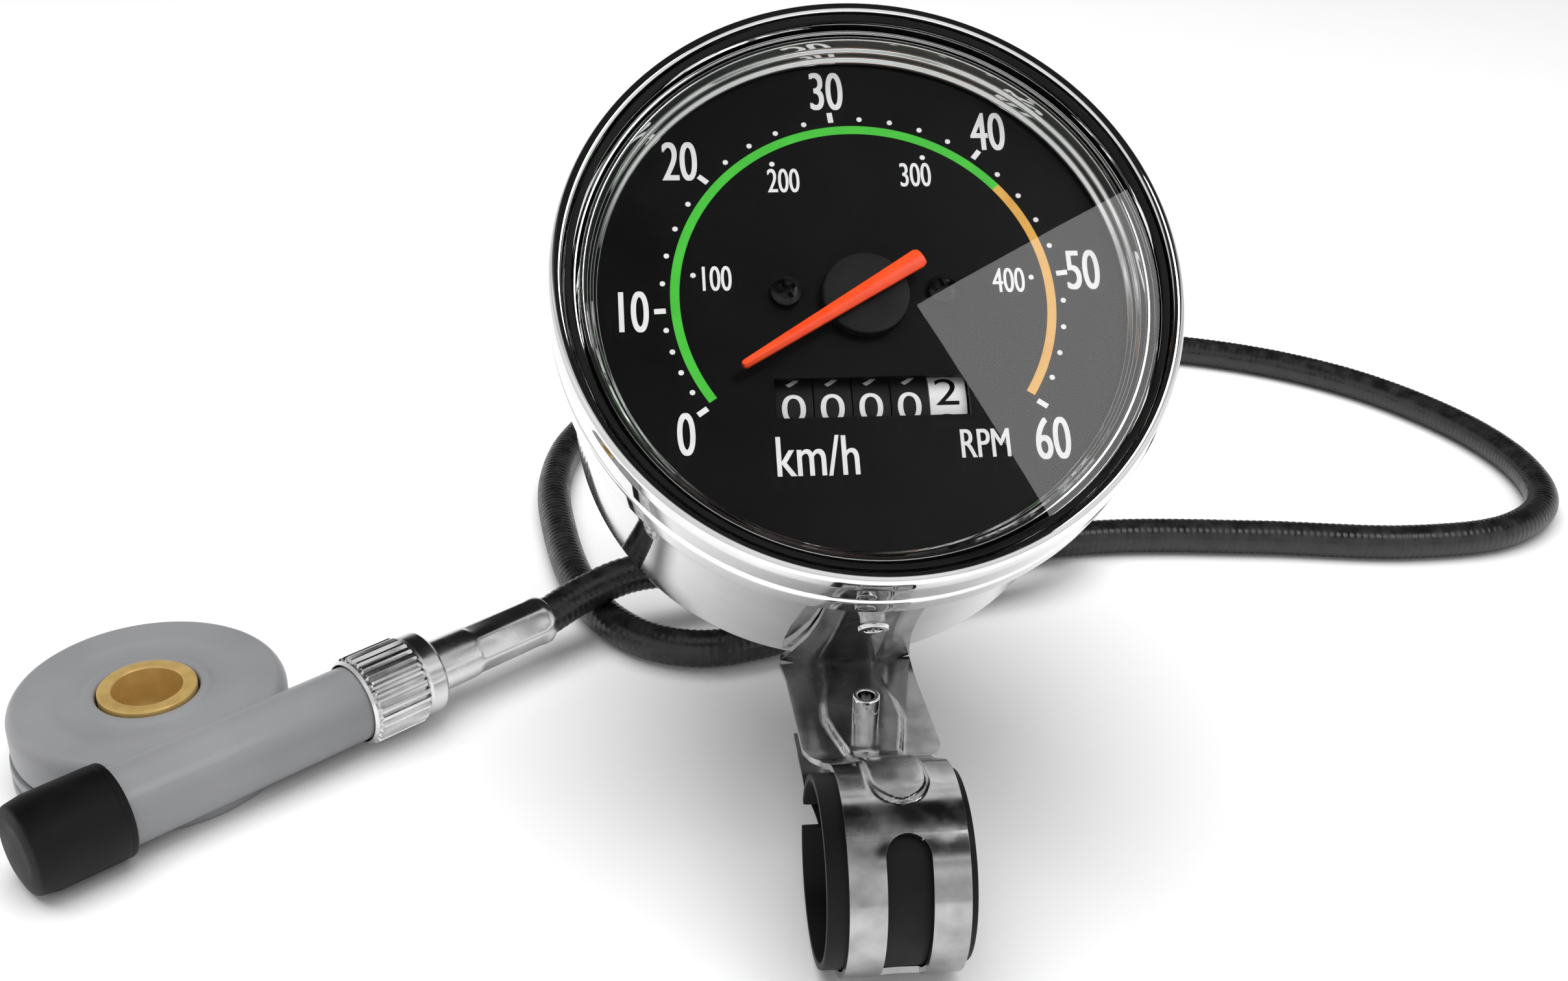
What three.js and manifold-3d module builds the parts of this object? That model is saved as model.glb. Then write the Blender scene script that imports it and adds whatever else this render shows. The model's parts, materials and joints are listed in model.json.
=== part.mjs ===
// Mechanical cycling computer: a round dial head on a handlebar clamp, driven by a flexible
// shaft from a hub gearbox. Millimetres, +Z up. It stands on Z = 0: the clamp strap, the
// shaft's casing and the gearbox's back all touch that plane.
import * as THREE from 'three';
import { mergeVertices } from 'three/addons/utils/BufferGeometryUtils.js';
import Module from 'manifold-3d';

const wasm = await Module();
wasm.setup();

// ---------------------------------------------------------------- driving dimensions
const GAP = 0.3;                       // clearance between pieces that touch
const ROUND = 32;                      // sides of a large round piece
const SMALL_ROUND = 12;                // sides of a small round piece
const WORM_SIDES = 10;

// Layout: the dial's centre in plan and above the table, and the head's lean backwards.
const HEAD_X = 39.89;
const HEAD_Y = -0.41;
const HEAD_HEIGHT = 73.7;
const HEAD_LEAN = 43.8;

// Head: radii and depths along the dial's axis, with the dial's face at 0.
const BEZEL_R = 41;
const CASE_R = 38;
const CASE_WALL = 0.8;
const CASE_BACK = -40;
const CASE_RIM = 3.9;
const LENS_R = 38.6;
const DIAL_R = 36.8;
const DIAL_THICK = 0.7;
const NEEDLE_ANGLE = 121.5;            // anticlockwise from 12 o'clock: the needle at rest
const NEEDLE_TIP = 19.6;
const NEEDLE_TAIL = 8.8;
const SCREW_X = 10.3;                  // dial screws, each side of the spindle
const SCREW_Y = 0.8;
const CUP_R = 12;
const INPUT_R = 2;

// Odometer: five drums on an axle across the dial, under its window.
const DRUM_COUNT = 5;
const DRUM_R = 8;
const DRUM_WIDTH = 4.6;
const DRUM_PITCH = 4.96;
const ODO_Y = -13.7;
const ODO_Z = -9.2;
const CARRY_Y = ODO_Y - 10.1;
const CROSS_Y = -7.9;
const CROSS_Z = -31.4;
const FRAME_LEFT = -14.6;
const FRAME_RIGHT = 16.3;

// Cable end fittings, along the head's axis behind the case.
const BOSS_R = 5;
const BOSS_END = -51;
const NUT_R = 6.9;
const NUT_RIBS = 24;
const HEAD_FERRULE_END = -68;
const CORE_HALF = 1;                   // half the side of the core's square tips
const CORE_BORE = 1.6;

// Clamp: a strip of sheet bent from the case to a loop for a 22.2 mm handlebar.
const STRAP = 0.8;                     // sheet thickness
const PLATE_WIDTH = 19;
const STRAP_WIDTH = 14.8;
const SLOT_WIDTH = 5.6;
const BAR_R = 11.1;
const LINER = 1;
const LINER_END = 170;                 // degrees from the loop's front to each of its ends
const LOOP_R = BAR_R + LINER + GAP + STRAP;      // outside of the strap's loop
const LOOP_Y = -40.5;
const STUD_Y = -17;
const SLOT_Y = LOOP_Y - 9.8;

// Hub gearbox: bush axis from the dial's centre in plan, and the way its tube points.
const BUSH_X = -100.9;
const BUSH_Y = 10.1;
const TUBE_TURN = 38.3;
const DISC_R = 19.5;
const GEARBOX_HEIGHT = 12;
const COVER_HEIGHT = 4.3;
const BUSH_R = 7;
const AXLE_R = 5;
const TUBE_OFFSET = 17.3;
const TUBE_HEIGHT = 6.9;
const TUBE_R = 5.8;
const TUBE_START = -26;
const TUBE_END = 29;
const CAP_R = 6.9;
const CAP_LIP = -14.2;
const CAVITY_R = 15.3;
const RING_R = 13.9;
const NUT_START = 22.9;
const GEARBOX_FERRULE_END = 58.6;

// Cable casing.
const CABLE_R = 3.1;
const CABLE_SIDES = 8;
const CABLE_STEPS = 78;

// ---------------------------------------------------------------- colours and finishes
const FINISH = {
  chrome: { color: 0xd8dadd, roughness: 0.12, metalness: 1 },
  steel: { color: 0xb4b6ba, roughness: 0.35, metalness: 1 },
  aluminium: { color: 0xc9cbce, roughness: 0.4, metalness: 1 },
  brass: { color: 0xc9a04b, roughness: 0.3, metalness: 1 },
  black: { color: 0x121212, roughness: 0.55, metalness: 0 },
  rubber: { color: 0x16171a, roughness: 0.8, metalness: 0 },
  grey: { color: 0xa9aaad, roughness: 0.5, metalness: 0 },
  orange: { color: 0xff4a1c, roughness: 0.45, metalness: 0 },
  white: { color: 0xe6e6e4, roughness: 0.5, metalness: 0 },
  magnet: { color: 0x2b2b2e, roughness: 0.6, metalness: 0.2 },
  clear: { color: 0xf2f5f6, roughness: 0.05, metalness: 0 },
};

// ---------------------------------------------------------------- solids
const radians = THREE.MathUtils.degToRad;

// One closed mesh: shared corners merged, flat triangles dropped, faces pointing out.
function clean(geometry) {
  const bare = geometry.clone();
  bare.deleteAttribute('normal');
  bare.deleteAttribute('uv');
  const merged = mergeVertices(bare, 1e-4);
  const position = merged.attributes.position;
  const corner = [new THREE.Vector3(), new THREE.Vector3(), new THREE.Vector3()];
  const kept = [];
  let volume = 0;
  for (let i = 0; i < merged.index.count; i += 3) {
    const face = [0, 1, 2].map((k) => merged.index.getX(i + k));
    if (new Set(face).size < 3) continue;
    face.forEach((vertex, k) => corner[k].fromBufferAttribute(position, vertex));
    volume += corner[0].dot(corner[1].clone().cross(corner[2]));
    kept.push(face);
  }
  merged.setIndex((volume < 0 ? kept.map(([a, b, c]) => [a, c, b]) : kept).flat());
  return merged;
}

function toManifold(geometry) {
  const closed = clean(geometry);
  return new wasm.Manifold(new wasm.Mesh({
    numProp: 3,
    vertProperties: Float32Array.from(closed.attributes.position.array),
    triVerts: Uint32Array.from(closed.index.array),
  }));
}

function toGeometry(manifold) {
  const mesh = manifold.getMesh();
  const geometry = new THREE.BufferGeometry();
  geometry.setAttribute('position', new THREE.Float32BufferAttribute(mesh.vertProperties, 3));
  geometry.setIndex(Array.from(mesh.triVerts));
  return geometry;
}

function cut(body, ...tools) {
  return toGeometry(tools.reduce((left, tool) => left.subtract(toManifold(tool)), toManifold(body)));
}

function join(...parts) {
  return toGeometry(parts.map(toManifold).reduce((all, part) => all.add(part)));
}

function common(first, second) {
  return toGeometry(toManifold(first).intersect(toManifold(second)));
}

// Solid of revolution about Z from [radius, z] corners.
function lathe(corners, sides = ROUND) {
  const outline = corners.map(([radius, z]) => new THREE.Vector2(radius, z));
  return new THREE.LatheGeometry(outline, sides).rotateX(Math.PI / 2);
}

function rod(radius, z0, z1, sides = SMALL_ROUND) {
  return lathe([[0, z0], [radius, z0], [radius, z1], [0, z1]], sides);
}

function ring(inner, outer, z0, z1, sides = ROUND) {
  return lathe([[inner, z0], [outer, z0], [outer, z1], [inner, z1], [inner, z0]], sides);
}

function block([x0, x1], [y0, y1], [z0, z1]) {
  const box = new THREE.BoxGeometry(x1 - x0, y1 - y0, z1 - z0);
  return box.translate((x0 + x1) / 2, (y0 + y1) / 2, (z0 + z1) / 2);
}

// Prism of an XY outline between two heights.
function prism(shape, z0, z1, curveSegments = 8) {
  const options = { depth: z1 - z0, bevelEnabled: false, curveSegments };
  return new THREE.ExtrudeGeometry(shape, options).translate(0, 0, z0);
}

// Prism of a YZ outline between two X places: the outline's x is Y and its y is Z.
function acrossPrism(shape, x0, x1) {
  const options = { depth: x1 - x0, bevelEnabled: false, curveSegments: 8 };
  const geometry = new THREE.ExtrudeGeometry(shape, options);
  return geometry.rotateX(Math.PI / 2).rotateZ(Math.PI / 2).translate(x0, 0, 0);
}

// A rod, or a solid made along Z, laid along X at a place in the YZ plane.
const across = (geometry, y, z) => geometry.rotateY(Math.PI / 2).translate(0, y, z);

function polygon(points) {
  return new THREE.Shape(points.map(([x, y]) => new THREE.Vector2(x, y)));
}

// Round outline with teeth or ribs: tip and root corners in turn.
function toothedShape(tip, depth, teeth) {
  return polygon(Array.from({ length: 2 * teeth }, (unused, i) => {
    const radius = i % 2 ? tip - depth : tip;
    const angle = (i * Math.PI) / teeth;
    return [radius * Math.cos(angle), radius * Math.sin(angle)];
  }));
}

function hexShape(acrossFlats) {
  const radius = acrossFlats / Math.sqrt(3);
  return polygon([0, 1, 2, 3, 4, 5].map((i) => [
    radius * Math.cos((i * Math.PI) / 3),
    radius * Math.sin((i * Math.PI) / 3),
  ]));
}

// Prism of a square centred on the Z axis.
function squareBar(half, z0, z1) {
  return block([-half, half], [-half, half], [z0, z1]);
}

function roundSection(radius, sides) {
  return polygon(Array.from({ length: sides }, (unused, i) => [
    radius * Math.cos(((i + 0.5) / sides) * 2 * Math.PI),
    radius * Math.sin(((i + 0.5) / sides) * 2 * Math.PI),
  ]));
}

function sweep(shape, curve, steps) {
  return new THREE.ExtrudeGeometry(shape, { steps, bevelEnabled: false, extrudePath: curve });
}

function part(name, finish, geometry) {
  const mesh = new THREE.Mesh(clean(geometry), new THREE.MeshStandardMaterial(FINISH[finish]));
  mesh.name = name;
  return mesh;
}

// ---------------------------------------------------------------- head: case and glass
const RIVET_Z = -14.5;
const RIVET_END = 40.8;                // from the head's axis: it stands proud of the bracket
const BACK_HOLE_R = BOSS_R + GAP;

function caseShell() {
  const inner = CASE_R - CASE_WALL;
  const shell = lathe([
    [BACK_HOLE_R, CASE_BACK],
    [CASE_R - 1.6, CASE_BACK],
    [CASE_R - 0.4, CASE_BACK + 0.5],
    [CASE_R, CASE_BACK + 1.7],
    [CASE_R, CASE_RIM],
    [inner, CASE_RIM],
    [inner, CASE_BACK + 1.9],
    [inner - 1, CASE_BACK + CASE_WALL],
    [BACK_HOLE_R, CASE_BACK + CASE_WALL],
    [BACK_HOLE_R, CASE_BACK],
  ], ROUND);
  return cut(shell, rivetHole());
}

// The bezel is rolled in two bands, with a shallow groove between them.
function bezelRing() {
  const inner = CASE_R + 0.4;
  return lathe([
    [inner, -5.2],
    [BEZEL_R - 0.4, -5.2],
    [BEZEL_R, -4.7],
    [BEZEL_R, -0.1],
    [BEZEL_R - 0.5, 0.4],
    [BEZEL_R - 0.5, 0.9],
    [BEZEL_R, 1.4],
    [BEZEL_R, 6.1],
    [BEZEL_R - 0.4, 7],
    [BEZEL_R - 1.2, 7.4],
    [LENS_R + 0.5, 7],
    [LENS_R + 0.4, 4],
    [inner, 4],
    [inner, -5.2],
  ], ROUND);
}

function rivetHole() {
  return rod(2, 30, 50).rotateX(Math.PI / 2).translate(0, 0, RIVET_Z);
}

function caseRivet() {
  const hollow = lathe([
    [1.2, 36],
    [2.8, 36],
    [2.8, 36.8],
    [1.7, 36.9],
    [1.7, RIVET_END],
    [1.2, RIVET_END],
    [1.2, 36],
  ], SMALL_ROUND);
  return hollow.rotateX(Math.PI / 2).translate(0, 0, RIVET_Z);
}

function trimRing() {
  return lathe([
    [34.4, GAP],
    [34.6, 0.8],
    [35.2, 1.2],
    [35.4, 2],
    [36, 2.4],
    [36.3, 3.8],
    [36.9, 3.8],
    [36.9, GAP],
    [34.4, GAP],
  ]);
}

// ---------------------------------------------------------------- head: dial and needle
const WINDOW = { left: -12.6, right: 12.4, bottom: -16.4, top: -11 };

function dialPlate() {
  const holes = [-1, 1].map((side) => rod(1.3, -2, 1, 12).translate(side * SCREW_X, SCREW_Y, 0));
  const window = block([WINDOW.left, WINDOW.right], [WINDOW.bottom, WINDOW.top], [-2, 1]);
  return cut(rod(DIAL_R, -DIAL_THICK, 0, ROUND), window, rod(1.2, -2, 1, 12), ...holes);
}

function dialScrew(side) {
  const body = lathe([[0, -8], [1, -8], [1, GAP], [2.1, GAP], [2, 1], [1.4, 1.3], [0, 1.3]], SMALL_ROUND);
  const cross = [
    block([-1.2, 1.2], [-0.3, 0.3], [0.8, 2]),
    block([-0.3, 0.3], [-1.2, 1.2], [0.8, 2]),
  ];
  return cut(body, ...cross).translate(side * SCREW_X, SCREW_Y, 0);
}

// The needle is flat with a low ridge along it, and widens from its tip to its tail.
function needle() {
  const half = [0.65, 1.35];
  const outline = polygon([
    [-half[0], NEEDLE_TIP - 0.3],
    [-half[0] + 0.3, NEEDLE_TIP],
    [half[0] - 0.3, NEEDLE_TIP],
    [half[0], NEEDLE_TIP - 0.3],
    [half[1], -NEEDLE_TAIL + 0.5],
    [half[1] - 0.5, -NEEDLE_TAIL],
    [-half[1] + 0.5, -NEEDLE_TAIL],
    [-half[1], -NEEDLE_TAIL + 0.5],
  ]);
  return prism(outline, 2.3, 3.1);
}

// Spiral spring of flat strip round the spindle.
function hairspring() {
  const turns = 4;
  const points = Array.from({ length: turns * 14 + 1 }, (unused, i) => {
    const angle = (i / 14) * 2 * Math.PI;
    const radius = 1.3 + 0.85 * (angle / (2 * Math.PI));
    return new THREE.Vector3(radius * Math.cos(angle), radius * Math.sin(angle), -15);
  });
  const strip = polygon([[-0.3, -0.1], [0.3, -0.1], [0.3, 0.1], [-0.3, 0.1]]);
  return sweep(strip, new THREE.CatmullRomCurve3(points), turns * 14);
}

function speedCup() {
  const front = -19.6;
  const rear = -27;
  return lathe([
    [0.9, front],
    [CUP_R, front],
    [CUP_R, rear],
    [CUP_R - 0.5, rear],
    [CUP_R - 0.5, front - 0.5],
    [0.9, front - 0.5],
    [0.9, front],
  ]);
}

// ---------------------------------------------------------------- head: movement
function inputShaft() {
  const corners = [[0, -47], [INPUT_R, -47]];
  for (let z = -34; z < -29; z += 1.6) {
    corners.push([INPUT_R, z], [2.9, z + 0.5], [2.9, z + 0.9], [INPUT_R, z + 1.4]);
  }
  corners.push([INPUT_R, -21], [0, -21]);
  return lathe(corners, WORM_SIDES);
}

function movementFrame() {
  const frontBridge = block([FRAME_LEFT, FRAME_RIGHT + 1], [-6, 9], [-18.8, -17.6]);
  const rearBridge = block([FRAME_LEFT, FRAME_RIGHT + 1], [-12, 9], [-37.6, -36.4]);
  const sides = [FRAME_LEFT, FRAME_RIGHT].map((x) => block([x, x + 1], [-26, 9], [-37.6, -4]));
  const posts = [-1, 1].map((side) => rod(2.3, -18, -1, 16).translate(side * SCREW_X, SCREW_Y, 0));
  const feet = [-1, 1].map((side) => rod(2, -38.9, -37, 12).translate(side * 11, 5, 0));
  const body = join(frontBridge, rearBridge, ...sides, ...posts, ...feet);
  const screwHoles = [-1, 1].map((side) => rod(1.3, -9, 0, 12).translate(side * SCREW_X, SCREW_Y, 0));
  const span = [FRAME_LEFT - 2, FRAME_RIGHT + 3];
  return cut(
    body,
    rod(1, -20, -16, 12),
    rod(INPUT_R + 0.4, -39, -35, 16),
    across(rod(1 + GAP, ...span, 12), ODO_Y, ODO_Z),
    across(rod(0.7 + GAP, ...span, 12), CARRY_Y, ODO_Z),
    across(rod(1.5 + GAP, ...span, 12), CROSS_Y, CROSS_Z),
    ...screwHoles,
  );
}

const drumLeft = (index) => WINDOW.left + 0.2 + index * DRUM_PITCH;

function odometerDrum(index) {
  const left = drumLeft(index);
  return across(ring(1 + GAP, DRUM_R, left, left + DRUM_WIDTH, 40), ODO_Y, ODO_Z);
}

// Ratchet with 32 teeth beside the last drum, turned a tooth at a time by the feed pawl.
function ratchetWheel() {
  const teeth = 32;
  const tip = 6.2;
  const root = 5.5;
  const lean = 0.7;                    // share of a half pitch that each tooth leans forward
  const points = Array.from({ length: 2 * teeth }, (unused, i) => {
    const radius = i % 2 ? tip : root;
    const angle = ((i + (i % 2) * lean) * Math.PI) / teeth;
    return [radius * Math.cos(angle), radius * Math.sin(angle)];
  });
  const left = drumLeft(DRUM_COUNT) + 0.1;
  const bore = rod(1 + GAP, left - 1, left + 3);
  return across(cut(prism(polygon(points), left, left + 1.2), bore), ODO_Y, ODO_Z);
}

function carryPinion(index) {
  const centre = drumLeft(index) - (DRUM_PITCH - DRUM_WIDTH) / 2;
  const bore = rod(1, centre - 2, centre + 2, 10);
  return across(cut(prism(toothedShape(1.8, 0.5, 6), centre - 1, centre + 1), bore), CARRY_Y, ODO_Z);
}

function crossShaft() {
  const eccentric = rod(2.2, 14.7, 15.7).translate(0.5, 0, 0);
  const wheel = prism(toothedShape(4.5, 0.5, 30), -1.6, 1.6);
  return across(join(rod(1.5, FRAME_LEFT - 1, FRAME_RIGHT + 2), wheel, eccentric), CROSS_Y, CROSS_Z);
}

// Flat arm from a ring round the eccentric to the ratchet.
function feedPawl() {
  const reach = new THREE.Vector2(ODO_Y - CROSS_Y + 6.8, ODO_Z - CROSS_Z - 1);
  const side = new THREE.Vector2(-reach.y, reach.x).normalize().multiplyScalar(1.1);
  const arm = polygon([
    [side.x, side.y],
    [-side.x, -side.y],
    [reach.x - side.x / 2, reach.y - side.y / 2],
    [reach.x + side.x / 2, reach.y + side.y / 2],
  ]);
  const blank = join(
    acrossPrism(arm, 14.8, 15.5),
    across(rod(4.4, 14.8, 15.5), 0, 0),
  );
  return cut(blank, across(rod(3.1, 14, 16.2), 0, 0)).translate(0, CROSS_Y, CROSS_Z);
}

// ---------------------------------------------------------------- cable fittings
function rearBoss() {
  return lathe([
    [2.4, BOSS_END],
    [BOSS_R - 0.5, BOSS_END],
    [BOSS_R, BOSS_END + 0.5],
    [BOSS_R, -38.9],
    [7, -38.9],
    [7, -38],
    [2.4, -38],
    [2.4, BOSS_END],
  ], 32);
}

function bossNut() {
  return cut(prism(hexShape(13), -43, CASE_BACK - GAP), rod(BACK_HOLE_R, -50, -30, 32));
}

// Knurled union nut along +Z from z0, open over a thread of the given radius.
function unionNut(z0, length, threadR) {
  const bore = threadR + GAP;
  const knurl = prism(toothedShape(NUT_R, 0.4, NUT_RIBS), z0 + 0.8, z0 + length - 2.6);
  const body = lathe([
    [0, z0],
    [NUT_R - 0.5, z0],
    [NUT_R - 0.4, z0 + length - 0.9],
    [NUT_R - 1.1, z0 + length],
    [0, z0 + length],
  ], 24);
  const hollow = rod(bore, z0 - 1, z0 + length - 2.2, 24);
  return cut(join(knurl, body), hollow, rod(4.4, z0 - 1, z0 + length + 1, 24));
}

// Crimped end sleeve along +Z, with the collar that the union nut pulls against.
function ferrule(collarR, collar0, end) {
  const neckEnd = (collar0 + end) / 2;
  const turned = lathe([
    [0, collar0],
    [collarR, collar0],
    [collarR, collar0 + 2],
    [4.1, collar0 + 2],
    [4.1, neckEnd],
    [3.9, neckEnd + 0.5],
    [3.9, end - 0.4],
    [3.6, end],
    [0, end],
  ], 24);
  const blank = join(
    common(turned, rod(collarR + 1, collar0 - 1, neckEnd)),
    common(turned, prism(hexShape(7.2), neckEnd - 0.5, end + 1)),
  );
  return cut(blank, rod(CORE_BORE, collar0 - 1, end + 1, 16));
}

// ---------------------------------------------------------------- bracket and clamp
// The strip's centre line in the YZ plane, from the fold behind the case, forwards as a
// plate, over and round the handlebar, and back under the plate as the lower tab.
const LOOP_Z = LOOP_R;
const FOLD = [0.4, 17];
const PLATE_END = [-25.5, 18.9];

function loopPoint(degrees) {
  const radius = LOOP_R - STRAP / 2;
  return [LOOP_Y - radius * Math.cos(radians(degrees)), LOOP_Z + radius * Math.sin(radians(degrees))];
}

function loopArc(from, to, steps) {
  return Array.from({ length: steps + 1 }, (unused, i) => loopPoint(from + ((to - from) * i) / steps));
}

// Closed outline of a strip of sheet that follows a line of points.
function stripShape(points) {
  const offset = (sign) => points.map((point, i) => {
    const before = points[Math.max(i - 1, 0)];
    const after = points[Math.min(i + 1, points.length - 1)];
    const along = new THREE.Vector2(after[0] - before[0], after[1] - before[1]).normalize();
    return [point[0] - (sign * along.y * STRAP) / 2, point[1] + (sign * along.x * STRAP) / 2];
  });
  return polygon([...offset(1), ...offset(-1).reverse()]);
}

// Outline of the flattened strip from above: it flares at the fold, its plate ends in two
// lugs, and the strap goes on at its own width.
function stripOutline() {
  const plate = PLATE_WIDTH / 2;
  const strap = STRAP_WIDTH / 2;
  const side = [
    [plate + 0.1, 2],
    [plate - 0.2, -4],
    [plate - 0.2, -22.6],
    [plate - 1.2, -24.4],
    [strap, -26],
    [strap, -60],
  ];
  return polygon([...side, ...side.map(([x, y]) => [-x, y]).reverse()]);
}

// Part of the case's wall that the strip hugs, wider at the fold than at the bezel.
function flange() {
  const wall = ring(CASE_R + GAP, CASE_R + GAP + STRAP, -41.6, -5.6);
  const outline = polygon([[-6.6, -5], [6.6, -5], [7, -20], [9.6, -42], [-9.6, -42], [-7, -20]]);
  const wedge = prism(outline, 30, 45).rotateX(Math.PI / 2);
  const inHead = cut(common(wall, wedge), rivetHole());
  return inHead.rotateX(radians(HEAD_LEAN)).translate(0, 0, HEAD_HEIGHT);
}

function bracket() {
  const plateLine = [0, 0.5, 1].map((share) => [
    FOLD[0] + (PLATE_END[0] - FOLD[0]) * share,
    FOLD[1] + (PLATE_END[1] - FOLD[1]) * share,
  ]);
  const rise = [[-28.6, 20.5], [-30.5, 21.8]];
  const lowerTab = [[-27.8, 10.2], [-26, 12.3], [-23, 13.1], [-11, 13.4]];
  const line = [...plateLine, ...rise, ...loopArc(125, -152, 30), ...lowerTab];
  const strip = common(acrossPrism(stripShape(line), -15, 15), prism(stripOutline(), -5, 40));
  const slot = join(
    block([-SLOT_WIDTH / 2, SLOT_WIDTH / 2], [SLOT_Y - 9, SLOT_Y], [-1, 30]),
    rod(SLOT_WIDTH / 2, -1, 30).translate(0, SLOT_Y, 0),
  );
  return cut(join(flange(), strip), slot, rod(2.15, 5, 30).translate(0, STUD_Y, 0));
}

// Rubber strip inside the loop, open towards the tabs.
function clampLiner() {
  const steps = 32;
  const arc = (radius, from, to) => Array.from({ length: steps + 1 }, (unused, i) => {
    const angle = radians(from + ((to - from) * i) / steps);
    return [LOOP_Y - radius * Math.cos(angle), LOOP_Z + radius * Math.sin(angle)];
  });
  const outline = polygon([...arc(BAR_R + LINER, LINER_END, -LINER_END), ...arc(BAR_R, -LINER_END, LINER_END)]);
  return acrossPrism(outline, -9.9, 8.4);
}

function clampInsert() {
  return lathe([
    [1.6, 16.2],
    [2.8, 16.2],
    [2.8, 17.3],
    [1.85, 17.4],
    [1.85, 23.4],
    [1.6, 23.4],
    [1.6, 16.2],
  ], SMALL_ROUND).translate(0, STUD_Y, 0);
}

function clampScrew() {
  const head = 12.5;
  const body = lathe([
    [0, head - 2.6],
    [2.4, head - 2.6],
    [3.3, head - 1.5],
    [3.3, head],
    [1.3, head],
    [1.3, 20.6],
    [0, 20.6],
  ], SMALL_ROUND);
  const recess = [
    block([-2, 2], [-0.4, 0.4], [head - 4, head - 1.6]),
    block([-0.4, 0.4], [-2, 2], [head - 4, head - 1.6]),
  ];
  return cut(body, ...recess).translate(0, STUD_Y, 0);
}

// ---------------------------------------------------------------- hub gearbox
// Its own frame: the bush on the Z axis, X along the tube.
const alongTube = (geometry) => geometry.rotateY(Math.PI / 2).translate(0, -TUBE_OFFSET, TUBE_HEIGHT);

// Room in the disc's edge for the cap over the tube's end.
const capRelief = () => alongTube(rod(CAP_R + GAP, TUBE_START - 5, CAP_LIP + GAP, 32));

function gearboxHousing() {
  const top = GEARBOX_HEIGHT - GAP;
  const disc = lathe([
    [0, COVER_HEIGHT + GAP],
    [DISC_R - 0.3, COVER_HEIGHT + GAP],
    [DISC_R, COVER_HEIGHT + 0.9],
    [DISC_R, top - 2],
    [DISC_R - 0.5, top - 0.7],
    [DISC_R - 1.8, top],
    [0, top],
  ]);
  const tube = alongTube(rod(TUBE_R, TUBE_START, TUBE_END, 32));
  return cut(
    join(cut(disc, capRelief()), tube),
    rod(BUSH_R + GAP, -1, 20, 32),
    rod(CAVITY_R, -1, COVER_HEIGHT + 1.2, ROUND),
    alongTube(rod(3.5, TUBE_START - 1, TUBE_END + 1, 20)),
  );
}

function backCover() {
  const rim = lathe([
    [CAVITY_R + GAP, 0],
    [DISC_R, 0],
    [DISC_R + 0.4, 0.5],
    [DISC_R + 0.4, 1.7],
    [DISC_R - 0.2, 2.1],
    [DISC_R - 0.2, 2.5],
    [DISC_R + 0.4, 2.9],
    [DISC_R + 0.2, COVER_HEIGHT],
    [CAVITY_R + GAP, COVER_HEIGHT],
    [CAVITY_R + GAP, 0],
  ]);
  const room = block([-12, 12], [-30, -17], [-1, 6]);
  return cut(rim, alongTube(rod(TUBE_R + GAP, -30, 30, 32)), room, capRelief());
}

// Ring turned by the wheel through two lugs in the back, with face teeth for the worm.
function driveRing() {
  const plate = prism(toothedShape(RING_R, 0.7, 30), 1.3, 4);
  const sector = (turn) => block([9.2, 12.6], [-2.5, 2.5], [0.4, 2]).rotateZ(turn);
  return cut(join(plate, sector(0), sector(Math.PI)), rod(BUSH_R + 0.6, -1, 6, 32));
}

function brassBush() {
  return ring(AXLE_R, BUSH_R, 0.6, GEARBOX_HEIGHT, 40);
}

function wormShaft() {
  const corners = [[0, -22], [2, -22]];
  for (let z = -6; z < 6; z += 2.4) {
    corners.push([2, z], [3.1, z + 0.7], [3.1, z + 1.2], [2, z + 1.9]);
  }
  corners.push([2, 20], [0, 20]);
  return alongTube(lathe(corners, WORM_SIDES));
}

function rubberCap() {
  const inner = TUBE_R + GAP;
  const end = TUBE_START - 1.9;
  return alongTube(lathe([
    [0, end],
    [4.9, end],
    [6.1, end + 0.5],
    [CAP_R - 0.2, end + 1.7],
    [CAP_R, end + 3.4],
    [CAP_R, CAP_LIP - 0.4],
    [CAP_R - 0.4, CAP_LIP],
    [inner, CAP_LIP],
    [inner, TUBE_START - GAP],
    [0, TUBE_START - GAP],
  ], 32));
}

// ---------------------------------------------------------------- cable casing
// Middle of the casing from the head's ferrule to the gearbox's, [x, y, z] from the point
// under the dial's centre. It lies on the table and crosses itself twice.
const CABLE_ROUTE = [
  [0, 47.28, 24.4],
  [0.2, 53.4, 18],
  [1, 61, 11],
  [3, 70.5, 5.6],
  [7, 82, 3.4],
  [15.5, 91.2, 3.1],
  [28, 95, 3.1],
  [40.5, 91.7, 3.2],
  [49.6, 82.5, 4.6],
  [52.8, 70, 7.9],
  [50, 58, 9.5],
  [41.5, 49.4, 7.8],
  [28, 44, 4.4],
  [14, 39.5, 3.1],
  [0, 34, 3.1],
  [-10, 29.6, 3.1],
  [-18.5, 28, 3.1],
  [-26.8, 30.8, 3.1],
  [-33.8, 38.5, 3.1],
  [-38.6, 51.5, 3.1],
  [-41.6, 70, 3.1],
  [-42.4, 88, 3.1],
  [-38.5, 107, 3.1],
  [-26, 127, 3.1],
  [28, 157, 3.1],
  [99.5, 147, 3.1],
  [129, 129.5, 3.1],
  [145.5, 105, 3.1],
  [150, 84, 3.1],
  [146, 67.5, 3.1],
  [133.5, 57.5, 3.1],
  [113.5, 54.8, 3.1],
  [85.5, 58.5, 3.1],
  [58, 60.6, 3.1],
  [30, 56.5, 3.2],
  [6, 50.5, 4.4],
  [-14, 46, 7.6],
  [-29, 42, 9.5],
  [-37.4, 38.2, 8.2],
  [-43.75, 33.25, 6.9],
];

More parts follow.
